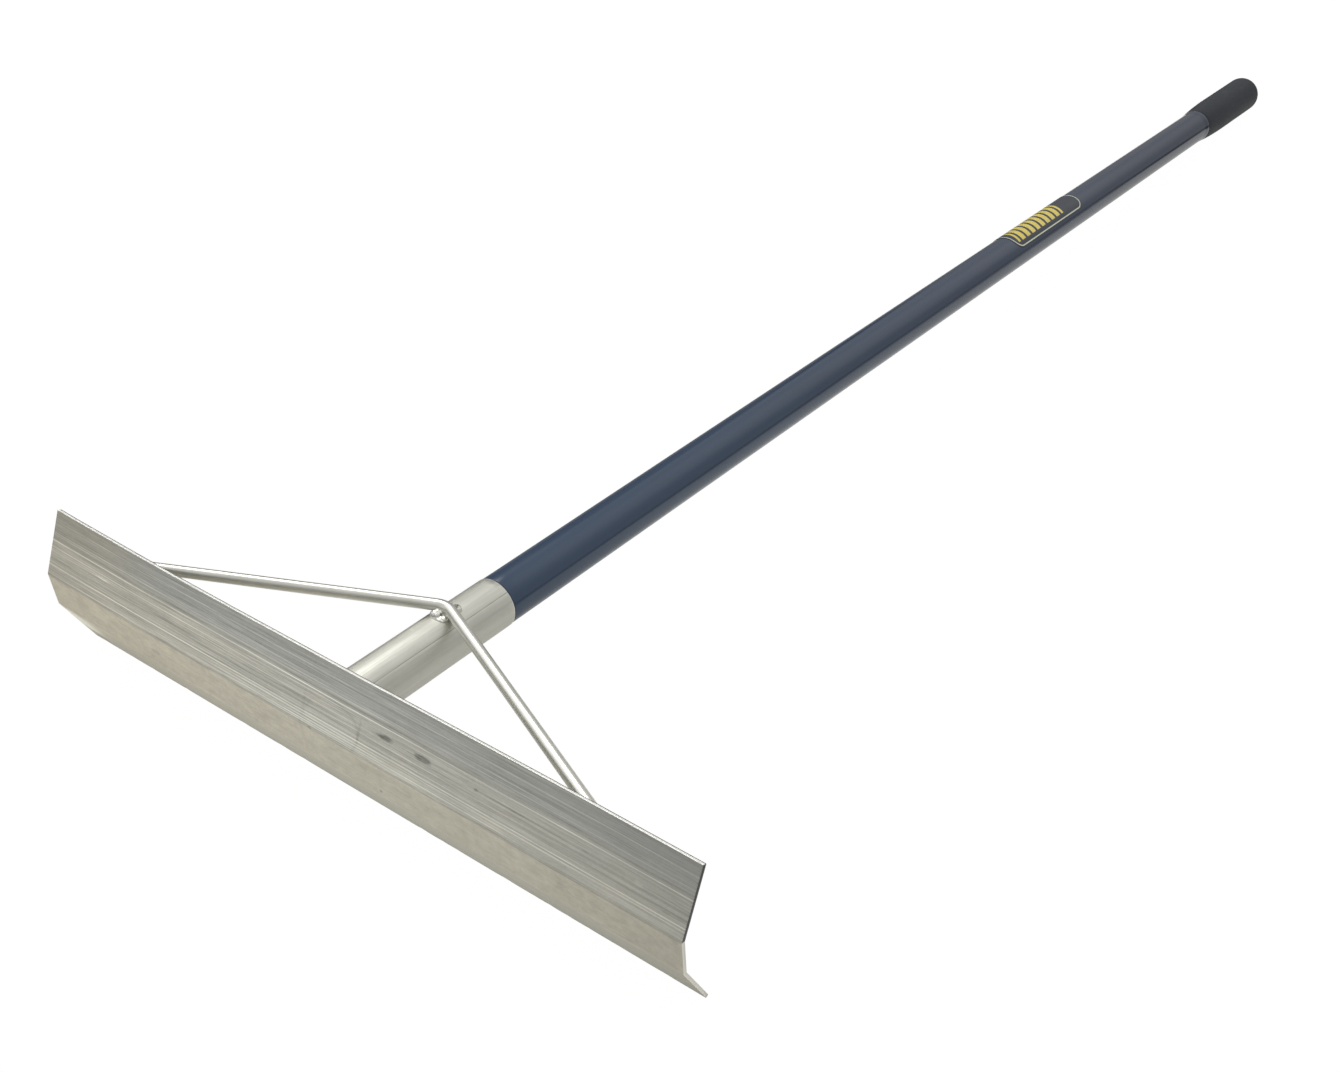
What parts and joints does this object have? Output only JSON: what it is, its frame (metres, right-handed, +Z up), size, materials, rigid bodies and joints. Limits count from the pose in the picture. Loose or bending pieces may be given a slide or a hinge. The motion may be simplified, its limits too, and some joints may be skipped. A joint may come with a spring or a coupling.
{
  "type": "concrete placer",
  "caption": "Hand placer for wet concrete: a bent aluminium blade, welded socket and V-shaped brace rod, and a long straight sleeved handle with a soft end grip.",
  "frame": {"origin": "middle of the flat land that the blade's lip stands on, on the ground, half-way along the blade", "axes": "+X along the blade, to the right when looking from the blade towards the grip, +Y from the blade towards the end grip, +Z up; the tool rests on the lip's land and the underside of the end grip"},
  "size_m": [0.6, 1.7562, 0.1217],
  "materials": {
    "blade_alloy": "mill finish extrusion with long fine die lines and dull smudges",
    "socket_alloy": "satin drawn tube with one long die line",
    "rod_alloy": "bright drawn round bar",
    "weld_alloy": "bright rippled weld bead",
    "core_alloy": "plain drawn tube",
    "sleeve_plastic": "glossy navy blue sleeve",
    "grip_rubber": "matt charcoal moulded grip",
    "label_film": "dark navy printed film with a pale border line and plain yellow bars",
    "rivet_alloy": "bright pressed rivet",
    "mandrel_steel": "zinc plated, snapped end"
  },
  "bodies": {
    "root": {"blade": "blade_alloy", "socket_tube": "socket_alloy", "brace_rod": "rod_alloy", "handle_tube": "core_alloy", "handle_sleeve": "sleeve_plastic", "end_grip": "grip_rubber", "handle_label": "label_film", "weld_socket_blade": "weld_alloy", "weld_apex_front": "weld_alloy", "weld_apex_rear": "weld_alloy", "weld_brace_left": "weld_alloy", "weld_brace_right": "weld_alloy", "rivet_body_front": "rivet_alloy", "rivet_mandrel_front": "mandrel_steel", "rivet_body_rear": "rivet_alloy", "rivet_mandrel_rear": "mandrel_steel"}
  },
  "joints": []
}
